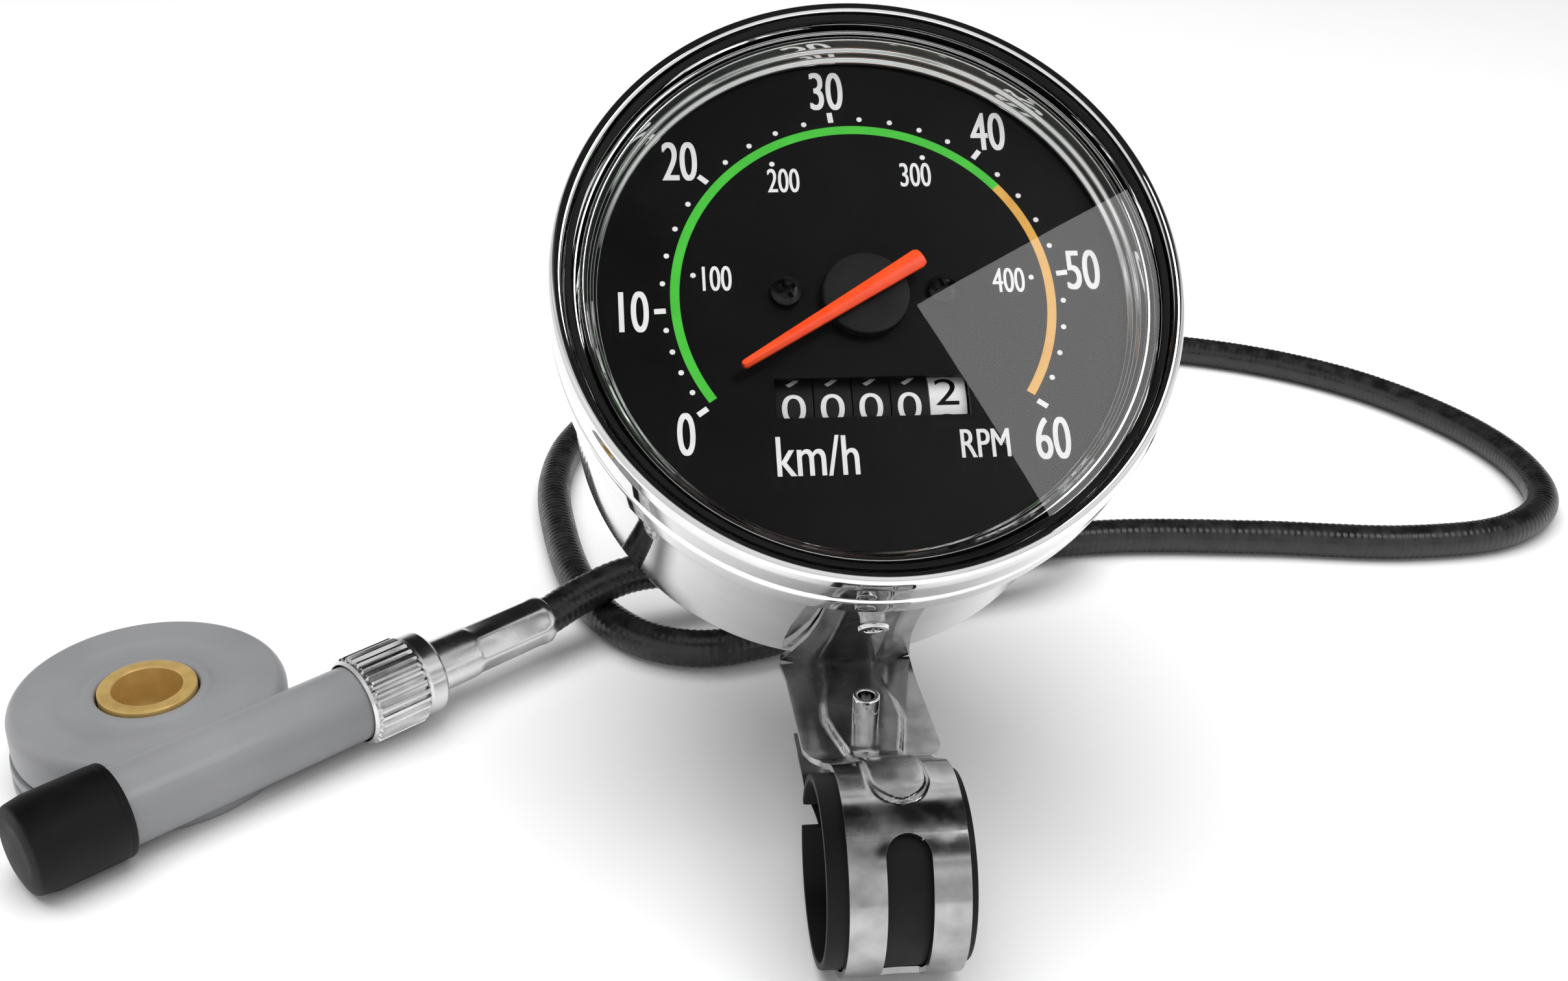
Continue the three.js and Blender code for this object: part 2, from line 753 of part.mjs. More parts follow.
function cableCasing() {
  const curve = new THREE.CatmullRomCurve3(CABLE_ROUTE.map((point) => new THREE.Vector3(...point)));
  return sweep(roundSection(CABLE_R, CABLE_SIDES), curve, CABLE_STEPS);
}

// ---------------------------------------------------------------- assembly
function headGroup() {
  const head = new THREE.Group();
  const pivotBoss = ring(1, 5.7, GAP, 1.7, 36);
  const pointer = part('needle', 'orange', needle());
  pointer.rotation.z = radians(NEEDLE_ANGLE);
  head.add(
    part('case_shell', 'chrome', caseShell()),
    part('bezel_ring', 'chrome', bezelRing()),
    part('lens_gasket', 'rubber', ring(37.4, LENS_R + 0.1, 6.2, 6.9)),
    part('lens', 'clear', rod(LENS_R, 4.2, 5.9, ROUND)),
    part('trim_ring', 'chrome', trimRing()),
    part('case_rivet', 'chrome', caseRivet()),
    part('dial_plate', 'black', dialPlate()),
    part('dial_screw_left', 'black', dialScrew(-1)),
    part('dial_screw_right', 'black', dialScrew(1)),
    part('pivot_boss', 'black', pivotBoss),
    pointer,
    part('needle_spindle', 'steel', rod(0.6, -20.8, 2)),
    part('speed_cup', 'aluminium', speedCup()),
    part('hairspring', 'brass', hairspring()),
    part('drive_magnet', 'magnet', ring(INPUT_R + GAP, CUP_R - 1.5, -26.6, -21.6, 32)),
    part('input_shaft', 'steel', inputShaft()),
    part('core_tip_head', 'steel', squareBar(CORE_HALF, -67, -47.3)),
    part('movement_frame', 'steel', movementFrame()),
    part('odometer_axle', 'steel', across(rod(1, FRAME_LEFT - 1, FRAME_RIGHT + 2), ODO_Y, ODO_Z)),
    part('carry_axle', 'steel', across(rod(0.7, FRAME_LEFT - 1, FRAME_RIGHT + 2, 12), CARRY_Y, ODO_Z)),
    part('ratchet_wheel', 'steel', ratchetWheel()),
    part('cross_shaft', 'steel', crossShaft()),
    part('feed_pawl', 'steel', feedPawl()),
    part('rear_boss', 'steel', rearBoss()),
    part('boss_nut', 'steel', bossNut()),
    part('union_nut_head', 'chrome', unionNut(44, 13, BOSS_R).rotateX(Math.PI)),
    part('ferrule_head', 'aluminium', ferrule(4.9, 51.6, -HEAD_FERRULE_END).rotateX(Math.PI)),
  );
  for (let index = 0; index < DRUM_COUNT; index += 1) {
    const finish = index === DRUM_COUNT - 1 ? 'white' : 'black';
    head.add(part(`odometer_drum_${index + 1}`, finish, odometerDrum(index)));
  }
  for (let index = 1; index < DRUM_COUNT; index += 1) {
    head.add(part(`carry_pinion_${index}`, 'white', carryPinion(index)));
  }
  head.rotation.x = radians(HEAD_LEAN);
  head.position.z = HEAD_HEIGHT;
  return head;
}

function clampGroup() {
  const clamp = new THREE.Group();
  clamp.add(
    part('bracket', 'chrome', bracket()),
    part('clamp_liner', 'rubber', clampLiner()),
    part('clamp_insert', 'chrome', clampInsert()),
    part('clamp_screw', 'steel', clampScrew()),
  );
  return clamp;
}

function gearboxGroup() {
  const gearbox = new THREE.Group();
  gearbox.add(
    part('gearbox_housing', 'grey', gearboxHousing()),
    part('back_cover', 'grey', backCover()),
    part('drive_ring', 'grey', driveRing()),
    part('brass_bush', 'brass', brassBush()),
    part('worm_shaft', 'steel', wormShaft()),
    part('thrust_washer', 'steel', alongTube(ring(0.6, 3.1, -23.2, -22.3, SMALL_ROUND))),
    part('tube_plug', 'steel', alongTube(rod(3.1, TUBE_START + 0.2, -23.5))),
    part('rubber_cap', 'rubber', rubberCap()),
    part('union_nut_gearbox', 'chrome', alongTube(unionNut(NUT_START, 13.2, TUBE_R))),
    part('ferrule_gearbox', 'aluminium', alongTube(ferrule(5.6, TUBE_END + GAP, GEARBOX_FERRULE_END))),
    part('core_tip_gearbox', 'steel', alongTube(squareBar(CORE_HALF, 20.3, 57))),
  );
  gearbox.rotation.z = radians(TUBE_TURN);
  gearbox.position.set(BUSH_X, BUSH_Y, 0);
  return gearbox;
}

const computer = new THREE.Group();
computer.add(
  headGroup(),
  clampGroup(),
  gearboxGroup(),
  part('cable_casing', 'rubber', cableCasing()),
);
computer.position.set(HEAD_X, HEAD_Y, 0);

export default computer;
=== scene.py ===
# Looks of the mechanical cycling computer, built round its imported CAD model.
# Sizes are millimetres in this script's lists and become metres in `add`.
import json
import math

import bmesh
import bpy
import numpy as np
from mathutils import Matrix, Vector


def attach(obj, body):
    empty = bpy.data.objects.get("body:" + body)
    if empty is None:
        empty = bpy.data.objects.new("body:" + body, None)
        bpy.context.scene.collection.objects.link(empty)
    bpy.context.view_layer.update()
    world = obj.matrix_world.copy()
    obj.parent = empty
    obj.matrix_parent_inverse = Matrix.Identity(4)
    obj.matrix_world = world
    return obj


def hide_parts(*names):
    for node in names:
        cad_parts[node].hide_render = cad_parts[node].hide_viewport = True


MM = 0.001

# ------------------------------------------------------------ layout, as in the CAD
HEAD_CENTRE = (39.89, -0.41, 73.7)
HEAD_LEAN = 43.8
BUSH_CENTRE = (-61.01, 9.69, 0.0)
TUBE_TURN = 38.3
TUBE_OFFSET = 17.3
TUBE_HEIGHT = 6.9
BEZEL_R = 41.0
CASE_R = 38.0
NEEDLE_ANGLE = 121.5
SCREW_PLACES = ((-10.3, 0.8), (10.3, 0.8))
ODO_Y = -13.7
ODO_Z = -9.2
DRUM_R = 8.0
DRUM_WIDTH = 4.6
DRUM_PITCH = 4.96
DRUM_LEFT = -12.4
DIGIT_HEIGHT = 3.9
CABLE_R = 3.1

HEAD = Matrix.Translation(HEAD_CENTRE) @ Matrix.Rotation(math.radians(HEAD_LEAN), 4, "X")
CLAMP = Matrix.Translation((HEAD_CENTRE[0], HEAD_CENTRE[1], 0))
GEARBOX = Matrix.Translation(BUSH_CENTRE) @ Matrix.Rotation(math.radians(TUBE_TURN), 4, "Z")
TUBE_IN_GEARBOX = Matrix.Translation((0, -TUBE_OFFSET, TUBE_HEIGHT)) @ Matrix.Rotation(math.pi / 2, 4, "Y")
TUBE = GEARBOX @ TUBE_IN_GEARBOX
TURNED_HEAD = HEAD @ Matrix.Rotation(math.pi, 4, "X")

CABLE_ROUTE = [
    (0, 47.28, 24.4), (0.2, 53.4, 18), (1, 61, 11), (3, 70.5, 5.6), (7, 82, 3.4),
    (15.5, 91.2, 3.1), (28, 95, 3.1), (40.5, 91.7, 3.2), (49.6, 82.5, 4.6), (52.8, 70, 7.9),
    (50, 58, 9.5), (41.5, 49.4, 7.8), (28, 44, 4.4), (14, 39.5, 3.1), (0, 34, 3.1),
    (-10, 29.6, 3.1), (-18.5, 28, 3.1), (-26.8, 30.8, 3.1), (-33.8, 38.5, 3.1), (-38.6, 51.5, 3.1),
    (-41.6, 70, 3.1), (-42.4, 88, 3.1), (-38.5, 107, 3.1), (-26, 127, 3.1), (28, 157, 3.1),
    (99.5, 147, 3.1), (129, 129.5, 3.1), (145.5, 105, 3.1),
    (150, 84, 3.1), (146, 67.5, 3.1), (133.5, 57.5, 3.1), (113.5, 54.8, 3.1), (85.5, 58.5, 3.1),
    (58, 60.6, 3.1), (30, 56.5, 3.2), (6, 50.5, 4.4), (-14, 46, 7.6), (-29, 42, 9.5),
    (-37.4, 38.2, 8.2), (-43.75, 33.25, 6.9),
]

# ------------------------------------------------------------ dial print
SPEED_ANGLES = {
    0: -125.0, 2: -118.8, 4: -112.2, 6: -105.6, 8: -98.9, 10: -93.0, 12: -84.6, 14: -75.9,
    16: -67.0, 18: -58.2, 20: -49.2, 22: -40.6, 24: -31.7, 26: -22.8, 28: -13.8, 30: -5.7,
    32: 2.8, 34: 11.8, 36: 20.8, 38: 29.8, 40: 38.9, 42: 47.5, 44: 56.4, 46: 65.4, 48: 74.3,
    50: 83.3, 52: 91.9, 54: 100.2, 56: 108.4, 58: 116.5, 60: 125.0,
}
SPEED_LABELS = {
    "0": (-24.0, -18.2), "10": (-29.9, -1.4), "20": (-23.1, 20.1), "30": (-2.9, 30.5),
    "40": (18.6, 24.2), "50": (29.3, 3.5), "60": (22.6, -20.0),
}
CADENCE_ANGLES = {"100": -80.8, "200": -29.1, "300": 24.7, "400": 83.5}
CADENCE_R = 22.4
PRINT_Z = 0.04
BAND_RADII = (24.0, 25.2)
BAND_START = -124
AMBER_START = 50
BAND_END = 124

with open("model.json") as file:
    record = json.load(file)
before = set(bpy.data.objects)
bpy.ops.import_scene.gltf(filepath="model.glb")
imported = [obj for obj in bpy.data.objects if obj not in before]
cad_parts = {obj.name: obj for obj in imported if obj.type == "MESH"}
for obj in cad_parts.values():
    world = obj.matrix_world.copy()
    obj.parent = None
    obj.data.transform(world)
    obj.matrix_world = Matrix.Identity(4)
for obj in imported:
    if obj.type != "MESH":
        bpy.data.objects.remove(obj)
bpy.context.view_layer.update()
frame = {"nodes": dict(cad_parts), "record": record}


# ------------------------------------------------------------ camera
def add_camera():
    data = bpy.data.cameras.new("camera")
    data.lens = 40.23
    data.sensor_width = 36.0
    camera = bpy.data.objects.new("camera", data)
    right = Vector((0.99296, -0.11552, 0.02633))
    up = Vector((0.02969, 0.45770, 0.88861))
    back = right.cross(up)
    place = Matrix((right, up, back)).transposed().to_4x4()
    camera.matrix_world = Matrix.Translation(Vector((2.49, -212.27, 156.06)) * MM) @ place
    bpy.context.scene.collection.objects.link(camera)
    bpy.context.scene.camera = camera


# ------------------------------------------------------------ shapes
def add(name, verts, faces, place, body, slot, material=None, replaces=(), sharp=35.0):
    """A mesh piece from points in millimetres, riding on a body and finished as its slot."""
    mesh = bpy.data.meshes.new(name)
    mesh.from_pydata([tuple(place @ Vector(v) * MM) for v in verts], [], faces)
    edit = bmesh.new()
    edit.from_mesh(mesh)
    bmesh.ops.remove_doubles(edit, verts=edit.verts, dist=1e-7)
    bmesh.ops.recalc_face_normals(edit, faces=edit.faces)
    edit.to_mesh(mesh)
    edit.free()
    mesh.shade_smooth()
    mesh.set_sharp_from_angle(angle=math.radians(sharp))
    piece = bpy.data.objects.new(name, mesh)
    bpy.context.scene.collection.objects.link(piece)
    mesh.materials.append(material or FINISHES[slot])
    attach(piece, body)
    if replaces:
        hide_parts(*replaces)
    return piece


def rounded(points, radius, closed=True, steps=4):
    """The outline with each corner eased into a short curve."""
    eased = []
    count = len(points)
    for i, point in enumerate(points):
        corner = Vector(point)
        if not closed and i in (0, count - 1):
            eased.append(tuple(corner))
            continue
        before = Vector(points[i - 1]) - corner
        after = Vector(points[(i + 1) % count]) - corner
        start = corner + before.normalized() * min(radius, before.length * 0.45)
        end = corner + after.normalized() * min(radius, after.length * 0.45)
        for k in range(steps + 1):
            t = k / steps
            eased.append(tuple(start * (1 - t) ** 2 + corner * 2 * t * (1 - t) + end * t ** 2))
    return eased


def lathe(profile, sides=128, closed=True):
    """Points and faces of a solid of revolution about Z from [radius, z] corners."""
    verts = []
    faces = []
    for k in range(sides):
        angle = 2 * math.pi * k / sides
        verts += [(r * math.cos(angle), r * math.sin(angle), z) for r, z in profile]
    count = len(profile)
    for k in range(sides):
        here = k * count
        there = ((k + 1) % sides) * count
        for i in range(count if closed else count - 1):
            j = (i + 1) % count
            faces.append((here + i, there + i, there + j, here + j))
    return verts, faces


def sections(rings):
    """Points and faces of a stack of closed outlines, capped at both ends."""
    verts = [point for ring in rings for point in ring]
    sides = len(rings[0])
    faces = []
    for k in range(len(rings) - 1):
        for i in range(sides):
            j = (i + 1) % sides
            faces.append((k * sides + i, k * sides + j, (k + 1) * sides + j, (k + 1) * sides + i))
    faces.append(tuple(range(sides))[::-1])
    faces.append(tuple(range((len(rings) - 1) * sides, len(rings) * sides)))
    return verts, faces


def prism(outline, z0, z1):
    return sections([[(x, y, z0) for x, y in outline], [(x, y, z1) for x, y in outline]])


def both(*shapes):
    """Several shapes in one list of points and faces."""
    verts = []
    faces = []
    for points, sides in shapes:
        faces += [tuple(i + len(verts) for i in side) for side in sides]
        verts += list(points)
    return verts, faces


def ease(piece, width, segments=2):
    """Rounds a piece's hard edges by a width in millimetres."""
    bevel = piece.modifiers.new("edges", "BEVEL")
    bevel.width = width * MM
    bevel.segments = segments
    bevel.limit_method = "ANGLE"
    bevel.angle_limit = math.radians(40)
    bevel.harden_normals = True


def drilled(piece, *cutters):
    """Cuts the cutters out of a piece and deletes them."""
    for cutter in cutters:
        tool = piece.modifiers.new("cut", "BOOLEAN")
        tool.operation = "DIFFERENCE"
        tool.object = cutter
    depsgraph = bpy.context.evaluated_depsgraph_get()
    mesh = bpy.data.meshes.new_from_object(piece.evaluated_get(depsgraph))
    piece.modifiers.clear()
    piece.data = mesh
    for cutter in cutters:
        bpy.data.objects.remove(cutter)
    mesh.shade_smooth()
    mesh.set_sharp_from_angle(angle=math.radians(35))


# ------------------------------------------------------------ finishes
def new_finish(name, colour, roughness, metallic=0.0):
    """A material whose shader has a colour, a roughness and a share of metal."""
    material = bpy.data.materials.new(name)
    material.use_nodes = True
    nodes = material.node_tree.nodes
    shader = nodes["Principled BSDF"]
    shader.inputs["Base Color"].default_value = (*colour, 1.0)
    shader.inputs["Roughness"].default_value = roughness
    shader.inputs["Metallic"].default_value = metallic
    return material, shader


def noise(material, scale, detail=4.0, stretch=(1, 1, 1)):
    """Noise over the piece's own coordinates, in features per metre."""
    nodes = material.node_tree.nodes
    links = material.node_tree.links
    place = nodes.new("ShaderNodeTexCoord")
    mapping = nodes.new("ShaderNodeMapping")
    mapping.inputs["Scale"].default_value = stretch
    pattern = nodes.new("ShaderNodeTexNoise")
    pattern.inputs["Scale"].default_value = scale
    pattern.inputs["Detail"].default_value = detail
    links.new(place.outputs["Object"], mapping.inputs["Vector"])
    links.new(mapping.outputs["Vector"], pattern.inputs["Vector"])
    return pattern


def ramp(material, source, stops, target):
    """Sends a pattern through a colour ramp into one of the shader's sockets."""
    node = material.node_tree.nodes.new("ShaderNodeValToRGB")
    while len(node.color_ramp.elements) < len(stops):
        node.color_ramp.elements.new(0.5)
    for element, (position, colour) in zip(node.color_ramp.elements, stops):
        element.position = position
        element.color = (*colour, 1.0)
    material.node_tree.links.new(source, node.inputs["Fac"])
    material.node_tree.links.new(node.outputs["Color"], target)


def grey(value):
    return (value, value, value)


def bumped(material, shader, height, strength, distance):
    """Raises the surface by a pattern; distance is in millimetres."""
    node = material.node_tree.nodes.new("ShaderNodeBump")
    node.inputs["Strength"].default_value = strength
    node.inputs["Distance"].default_value = distance * MM
    material.node_tree.links.new(height, node.inputs["Height"])
    material.node_tree.links.new(node.outputs["Normal"], shader.inputs["Normal"])


def plain_finish(name, dark, light, rough, metallic, colour_scale, grain_scale, grain, coat=0.0,
                 specular=0.5):
    """A surface whose colour drifts between two shades, with its own gloss and grain."""
    material, shader = new_finish(name, light, rough[0], metallic)
    drift = noise(material, colour_scale)
    ramp(material, drift.outputs["Fac"], [(0.3, dark), (0.7, light)], shader.inputs["Base Color"])
    ramp(material, drift.outputs["Fac"], [(0.3, grey(rough[0])), (0.7, grey(rough[1]))],
         shader.inputs["Roughness"])
    bumped(material, shader, noise(material, grain_scale, 2.0).outputs["Fac"], grain, 0.05)
    shader.inputs["Coat Weight"].default_value = coat
    shader.inputs["Coat Roughness"].default_value = 0.08
    shader.inputs["Specular IOR Level"].default_value = specular
    return material


def chrome_finish(name, scuffed_and_painted_dark):
    """Bright plate with faint smears; the scuffed one has dull, scratched patches, and its darker colour is
    a painted dark reflection.
    """
    smooth, dull = (0.14, 0.4) if scuffed_and_painted_dark else (0.03, 0.1)
    # The scuffed chrome's darker shades are a painted dark reflection of the surroundings.
    shades = [(0.4, grey(0.5)), (0.7, grey(0.28))] if scuffed_and_painted_dark else [(0.3, grey(0.75)), (0.6, grey(0.88))]
    shade_scale = 160.0 if scuffed_and_painted_dark else 60.0
    scratch_strength = 0.12 if scuffed_and_painted_dark else 0.04
    material, shader = new_finish(name, (0.86, 0.87, 0.88), 0.06, 1.0)
    ramp(material, noise(material, 90.0, 5.0).outputs["Fac"], [(0.52, grey(smooth)), (0.68, grey(dull))],
         shader.inputs["Roughness"])
    ramp(material, noise(material, shade_scale, 6.0).outputs["Fac"], shades, shader.inputs["Base Color"])
    scratches = noise(material, 1200.0, 3.0, (1, 0.15, 1))
    bumped(material, shader, scratches.outputs["Fac"], scratch_strength, 0.02)
    return material


def lens_finish():
    """Clear moulded acrylic with the slightest ripple."""
    material, shader = new_finish("lens", (1.0, 1.0, 1.0), 0.0)
    shader.inputs["Transmission Weight"].default_value = 1.0
    shader.inputs["IOR"].default_value = 1.49
    ramp(material, noise(material, 40.0).outputs["Fac"],
         [(0.3, (0.985, 0.99, 0.99)), (0.7, (1.0, 1.0, 1.0))], shader.inputs["Base Color"])
    ramp(material, noise(material, 120.0).outputs["Fac"],
         [(0.55, grey(0.0)), (0.75, grey(0.02))], shader.inputs["Roughness"])
    return material


def vinyl_finish():
    """Glossy black sleeve with a haze of fine scuffs."""
    material, shader = new_finish("vinyl", (0.012, 0.012, 0.013), 0.3)
    scuff = noise(material, 400.0, 6.0)
    ramp(material, scuff.outputs["Fac"], [(0.35, grey(0.007)), (0.75, grey(0.022))],
         shader.inputs["Base Color"])
    ramp(material, scuff.outputs["Fac"], [(0.4, grey(0.22)), (0.7, grey(0.42))],
         shader.inputs["Roughness"])
    bumped(material, shader, noise(material, 2500.0, 2.0).outputs["Fac"], 0.15, 0.03)
    return material


def make_finishes():
    g = grey
    return {
        "chrome": chrome_finish("chrome", False),
        # The bracket's chrome has a darker colour painted in as a dark reflection.
        "bracket_chrome": chrome_finish("bracket_chrome", True),
        "lens": lens_finish(),
        "vinyl": vinyl_finish(),
        "rubber": plain_finish("rubber", g(0.003), g(0.006), (0.45, 0.65), 0, 150, 1800, 0.35,
                               specular=0.2),
        "aluminium": plain_finish("aluminium", g(0.72), g(0.84), (0.16, 0.32), 1, 200, 1500, 0.1),
        "dial": plain_finish("dial", g(0.002), g(0.0035), (0.3, 0.4), 0, 60, 3000, 0.05,
                             specular=0.12),
        "black_plastic": plain_finish("black_plastic", g(0.006), g(0.011), (0.45, 0.6), 0, 200, 2500, 0.3,
                                      specular=0.2),
        "blackened_steel": plain_finish("blackened_steel", g(0.02), g(0.05), (0.2, 0.4), 1,
                                        500, 3000, 0.2),
        "needle": plain_finish("needle", (0.9, 0.055, 0.008), (1.0, 0.09, 0.015), (0.32, 0.45), 0,
                               300, 2000, 0.1),
        "brass": plain_finish("brass", (0.6, 0.4, 0.13), (0.78, 0.54, 0.2), (0.3, 0.42), 0.5,
                              300, 1500, 0.1),
        "grey_plastic": plain_finish("grey_plastic", (0.2, 0.202, 0.21), (0.235, 0.237, 0.246),
                                     (0.34, 0.46), 0, 50, 2200, 0.15, 0.15),
        "white_plastic": plain_finish("white_plastic", g(0.72), g(0.8), (0.4, 0.5), 0, 200, 2500, 0.1),
        "magnet": plain_finish("magnet", g(0.02), g(0.05), (0.6, 0.8), 0, 500, 3000, 0.4),
        "steel": plain_finish("steel", g(0.5), g(0.62), (0.25, 0.4), 1, 300, 1500, 0.15),
        "white_print": plain_finish("white_print", g(0.74), g(0.82), (0.5, 0.6), 0, 300, 3000, 0.05),
        "green_print": plain_finish("green_print", (0.045, 0.46, 0.03), (0.06, 0.55, 0.04),
                                    (0.5, 0.6), 0, 300, 3000, 0.05),
        "amber_print": plain_finish("amber_print", (0.66, 0.34, 0.06), (0.76, 0.42, 0.09),
                                    (0.5, 0.6), 0, 300, 3000, 0.05),
    }


FINISHES = make_finishes()


def finish_cad_nodes():
    """Each CAD piece that stays gets the finish of its slot in the record."""
    for entry in frame["record"]["subparts"]:
        mesh = frame["nodes"][entry["node"]].data
        mesh.materials.clear()
        mesh.materials.append(FINISHES[entry["material_slot"]])
        mesh.shade_smooth()
        mesh.set_sharp_from_angle(angle=math.radians(35))


# ------------------------------------------------------------ head
def add_case():
    inner = CASE_R - 0.8
    shell = rounded([(5.3, -40), (CASE_R, -40), (CASE_R, 3.9), (inner, 3.9), (inner, -39.2),
                     (5.3, -39.2)], 0.9)
    add("case", *lathe(shell, 192), HEAD, "root", "chrome", replaces=["case_shell"])
    bezel = rounded([
        (38.4, -5.2), (40.3, -5.2), (BEZEL_R, -4.4), (BEZEL_R, -0.6), (40.5, -0.2),
        (40.5, 0.7), (BEZEL_R, 1.2), (BEZEL_R, 5.6), (40.6, 6.9), (39.8, 7.4),
        (39.1, 7.2), (38.9, 4.0), (38.4, 4.0),
    ], 0.35)
    add("bezel", *lathe(bezel, 192), HEAD, "root", "chrome", replaces=["bezel_ring"], sharp=50)
    gasket = rounded([(37.9, 6.15), (38.75, 6.15), (38.75, 6.9), (37.9, 6.7)], 0.2)
    add("gasket", *lathe(gasket, 160), HEAD, "root", "rubber", replaces=["lens_gasket"])
    trim = rounded([
        (34.4, 0.3), (34.5, 0.8), (35.1, 1.2), (35.35, 2.0), (35.9, 2.4), (36.3, 3.8),
        (36.9, 3.8), (36.9, 0.3),
    ], 0.18)
    add("trim", *lathe(trim, 160), HEAD, "root", "chrome", replaces=["trim_ring"], sharp=60)
    window = rounded([(0, 4.2), (38.2, 4.2), (38.5, 4.5), (38.5, 5.6), (38.2, 5.9), (0, 5.9)], 0.02,
                     closed=False)
    lens = add("dial_lens", *lathe(window, 160, closed=False), HEAD, "root", "lens", replaces=["lens"],
               sharp=20)
    lens.visible_shadow = False


def cross_cutters(place, reach, half, z0, z1):
    """Two crossed blocks for a screw's recess."""
    cutters = []
    for x, y in ((reach, half), (half, reach)):
        outline = [(-x, -y), (x, -y), (x, y), (-x, y)]
        verts, faces = prism(outline, z0, z1)
        mesh = bpy.data.meshes.new("cutter")
        mesh.from_pydata([tuple(place @ Vector(v) * MM) for v in verts], [], faces)
        cutter = bpy.data.objects.new("cutter", mesh)
        bpy.context.scene.collection.objects.link(cutter)
        cutters.append(cutter)
    return cutters


def add_hub_and_screws():
    boss = rounded([(1.0, 0.3), (5.7, 0.3), (5.7, 1.7), (1.0, 1.7)], 0.3)
    add("pivot_disc", *lathe(boss, 96), HEAD, "root", "black_plastic", replaces=["pivot_boss"])
    profile = rounded([(0, -8), (1, -8), (1, 0.3), (2.1, 0.3), (2.05, 0.9), (1.3, 1.3), (0, 1.3)],
                      0.2, closed=False)
    for name, (x, y) in zip(("left", "right"), SCREW_PLACES):
        place = HEAD @ Matrix.Translation((x, y, 0)) @ Matrix.Rotation(0.5, 4, "Z")
        screw = add(f"screw_{name}", *lathe(profile, 48, closed=False), place, "root",
                    "blackened_steel", replaces=[f"dial_screw_{name}"])
        drilled(screw, *cross_cutters(place, 1.3, 0.28, 0.7, 2.0))


def add_needle():
    """Flat tapered pointer, a little crowned, wider at its tail."""
    ridge = []
    for y, half in ((19.6, 0.35), (19.2, 0.62), (12, 0.82), (0, 1.12), (-8.2, 1.35), (-8.8, 1.05)):
        ridge.append([
            (-half, y, 2.3), (half, y, 2.3), (half, y, 2.75),
            (half * 0.35, y, 3.1), (-half * 0.35, y, 3.1), (-half, y, 2.75),
        ])
    place = HEAD @ Matrix.Rotation(math.radians(NEEDLE_ANGLE), 4, "Z")
    pointer = add("pointer", *sections(ridge), place, "needle_group", "needle", replaces=["needle"])
    ease(pointer, 0.12)


CAPITAL_SHARE = 0.7     # height of the built-in font's capitals, as a share of its size


def text_shape(text, height, width_share):
    """Flat letters of the built-in font, made narrower or wider, centred on the origin."""
    curve = bpy.data.curves.new("text", "FONT")
    curve.body = text
    curve.size = height / CAPITAL_SHARE
    carrier = bpy.data.objects.new("text", curve)
    bpy.context.scene.collection.objects.link(carrier)
    depsgraph = bpy.context.evaluated_depsgraph_get()
    mesh = bpy.data.meshes.new_from_object(carrier.evaluated_get(depsgraph))
    points = np.array([v.co[:2] for v in mesh.vertices])
    faces = [tuple(p.vertices) for p in mesh.polygons]
    bpy.data.objects.remove(carrier)
    bpy.data.meshes.remove(mesh)
    middle = (points.min(0) + points.max(0)) / 2
    points = (points - middle) * (width_share, 1)
    return [(x, y, 0.0) for x, y in points], faces


def moved(shape, x, y, z, turn=0.0):
    """A flat shape turned about Z and moved."""
    place = Matrix.Translation((x, y, z)) @ Matrix.Rotation(turn, 4, "Z")
    return [tuple(place @ Vector(v)) for v in shape[0]], shape[1]


def bold(shape, spread):
    """A flat shape printed twice, a little to each side, to thicken its upright strokes."""
    return both(moved(shape, -spread, 0, 0), moved(shape, spread, 0, 0.004))


def polar(radius, degrees):
    """A place on the dial, with the angle clockwise from its top."""
    angle = math.radians(degrees)
    return radius * math.sin(angle), radius * math.cos(angle)


def bar(half_length, half_width):
    outline = [(-half_width, -half_length, 0), (half_width, -half_length, 0),
               (half_width, half_length, 0), (-half_width, half_length, 0)]
    return outline, [(0, 1, 2, 3)]


def dot(radius):
    outline = [(*polar(radius, 22.5 * k), 0) for k in range(16)]
    return outline, [tuple(range(16))[::-1]]


def band(inner, outer, start, end, z):
    """Part of a flat ring between two dial angles."""
    steps = max(2, round((end - start) / 2))
    verts = []
    for k in range(steps + 1):
        angle = start + (end - start) * k / steps
        verts += [(*polar(inner, angle), z), (*polar(outer, angle), z)]
    return verts, [(2 * k, 2 * k + 1, 2 * k + 3, 2 * k + 2) for k in range(steps)]


def add_dial_print():
    """Scale marks, numerals and units in white, then the green and amber speed bands."""
    shapes = []
    for speed, degrees in SPEED_ANGLES.items():
        radius, mark = (26.6, bar(0.75, 0.36)) if speed % 10 == 0 else (26.2, dot(0.36))
        shapes.append(moved(mark, *polar(radius, degrees), PRINT_Z, -math.radians(degrees)))
    for text, (x, y) in SPEED_LABELS.items():
        shapes.append(moved(bold(text_shape(text, 5.7, 0.58), 0.1), x, y, PRINT_Z))
    for text, degrees in CADENCE_ANGLES.items():
        inward = 3.1 if abs(degrees) > 60 else 2.8
        label = bold(text_shape(text, 3.5, 0.58), 0.05)
        shapes.append(moved(dot(0.36), *polar(CADENCE_R, degrees), PRINT_Z))
        shapes.append(moved(label, *polar(CADENCE_R - inward, degrees), PRINT_Z))
    shapes.append(moved(bold(text_shape("km/h", 5.4, 0.7), 0.06), -7.7, -21.5, PRINT_Z))
    shapes.append(moved(bold(text_shape("RPM", 3.9, 0.64), 0.06), 13.8, -20.4, PRINT_Z))
    add("white_marks", *both(*shapes), HEAD, "root", "dial", FINISHES["white_print"])
    green = band(*BAND_RADII, BAND_START, AMBER_START, PRINT_Z)
    amber = band(*BAND_RADII, AMBER_START, BAND_END, PRINT_Z)
    add("green_band", *green, HEAD, "root", "dial", FINISHES["green_print"])
    add("amber_band", *amber, HEAD, "root", "dial", FINISHES["amber_print"])


